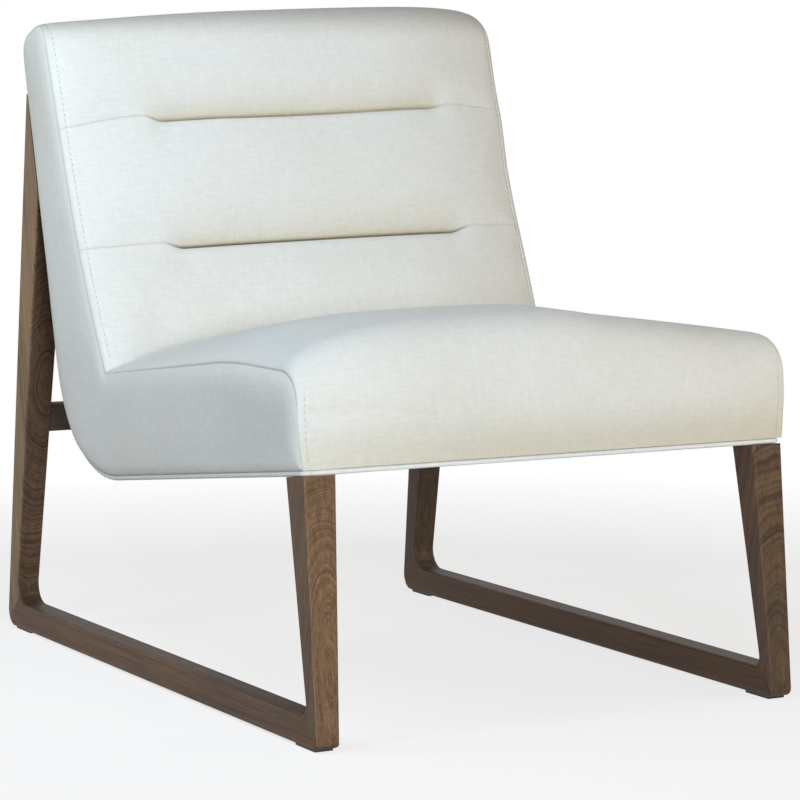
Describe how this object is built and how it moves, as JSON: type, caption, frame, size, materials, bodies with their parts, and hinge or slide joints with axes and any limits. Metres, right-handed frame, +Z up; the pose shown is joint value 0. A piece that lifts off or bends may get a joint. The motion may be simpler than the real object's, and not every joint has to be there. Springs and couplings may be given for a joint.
{
  "type": "occasional chair",
  "caption": "Low armless lounge chair: L-shaped upholstered shell with channelled back, carried by two dark wooden sled side frames joined by a rear stretcher.",
  "frame": {"origin": "on the floor under the middle of the chair's overall box", "axes": "+Z up, the chair faces -Y, +X is the right of someone looking at its front"},
  "size_m": [0.638, 0.8838, 0.8032],
  "materials": {
    "oak": "dark brown stain, satin lacquer over open grain",
    "beech": "bare",
    "plywood": "bare",
    "linen": "ivory slub linen weave",
    "foam": "open-cell upholstery foam",
    "webbing": "elastic webbing",
    "dust_cloth": "black non-woven cloth",
    "black_steel": "black powder coat",
    "zinc_steel": "zinc plated",
    "black_plastic": "matt"
  },
  "bodies": {
    "root": {"left_front_leg": "oak", "right_front_leg": "oak", "left_runner": "oak", "right_runner": "oak", "left_rear_leg": "oak", "right_rear_leg": "oak", "rear_stretcher": "oak", "left_front_tenon": "beech", "right_front_tenon": "beech", "left_rear_tenon": "beech", "right_rear_tenon": "beech", "left_stretcher_dowel": "beech", "right_stretcher_dowel": "beech", "left_side_rail": "plywood", "right_side_rail": "plywood", "left_back_post": "plywood", "right_back_post": "plywood", "front_rail": "plywood", "heel_rail": "plywood", "lower_back_rail": "plywood", "top_rail": "plywood", "seat_cover": "linen", "inside_back_cover": "linen", "left_side_cover": "linen", "right_side_cover": "linen", "outside_back_cover": "linen", "left_welt": "linen", "right_welt": "linen", "front_welt": "linen", "top_welt": "linen", "seat_foam": "foam", "inside_back_foam": "foam", "seat_strap_1": "webbing", "seat_strap_2": "webbing", "seat_strap_3": "webbing", "seat_strap_4": "webbing", "seat_strap_5": "webbing", "back_strap_1": "webbing", "back_strap_2": "webbing", "back_strap_3": "webbing", "dust_cover": "dust_cloth", "left_leg_plate": "black_steel", "right_leg_plate": "black_steel", "left_leg_bolt": "zinc_steel", "right_leg_bolt": "zinc_steel", "left_plate_screw_1": "zinc_steel", "left_plate_screw_2": "zinc_steel", "right_plate_screw_1": "zinc_steel", "right_plate_screw_2": "zinc_steel", "left_rear_bolt_1": "zinc_steel", "left_rear_bolt_2": "zinc_steel", "right_rear_bolt_1": "zinc_steel", "right_rear_bolt_2": "zinc_steel", "left_front_glide": "black_plastic", "right_front_glide": "black_plastic", "left_rear_glide": "black_plastic", "right_rear_glide": "black_plastic"}
  },
  "joints": []
}
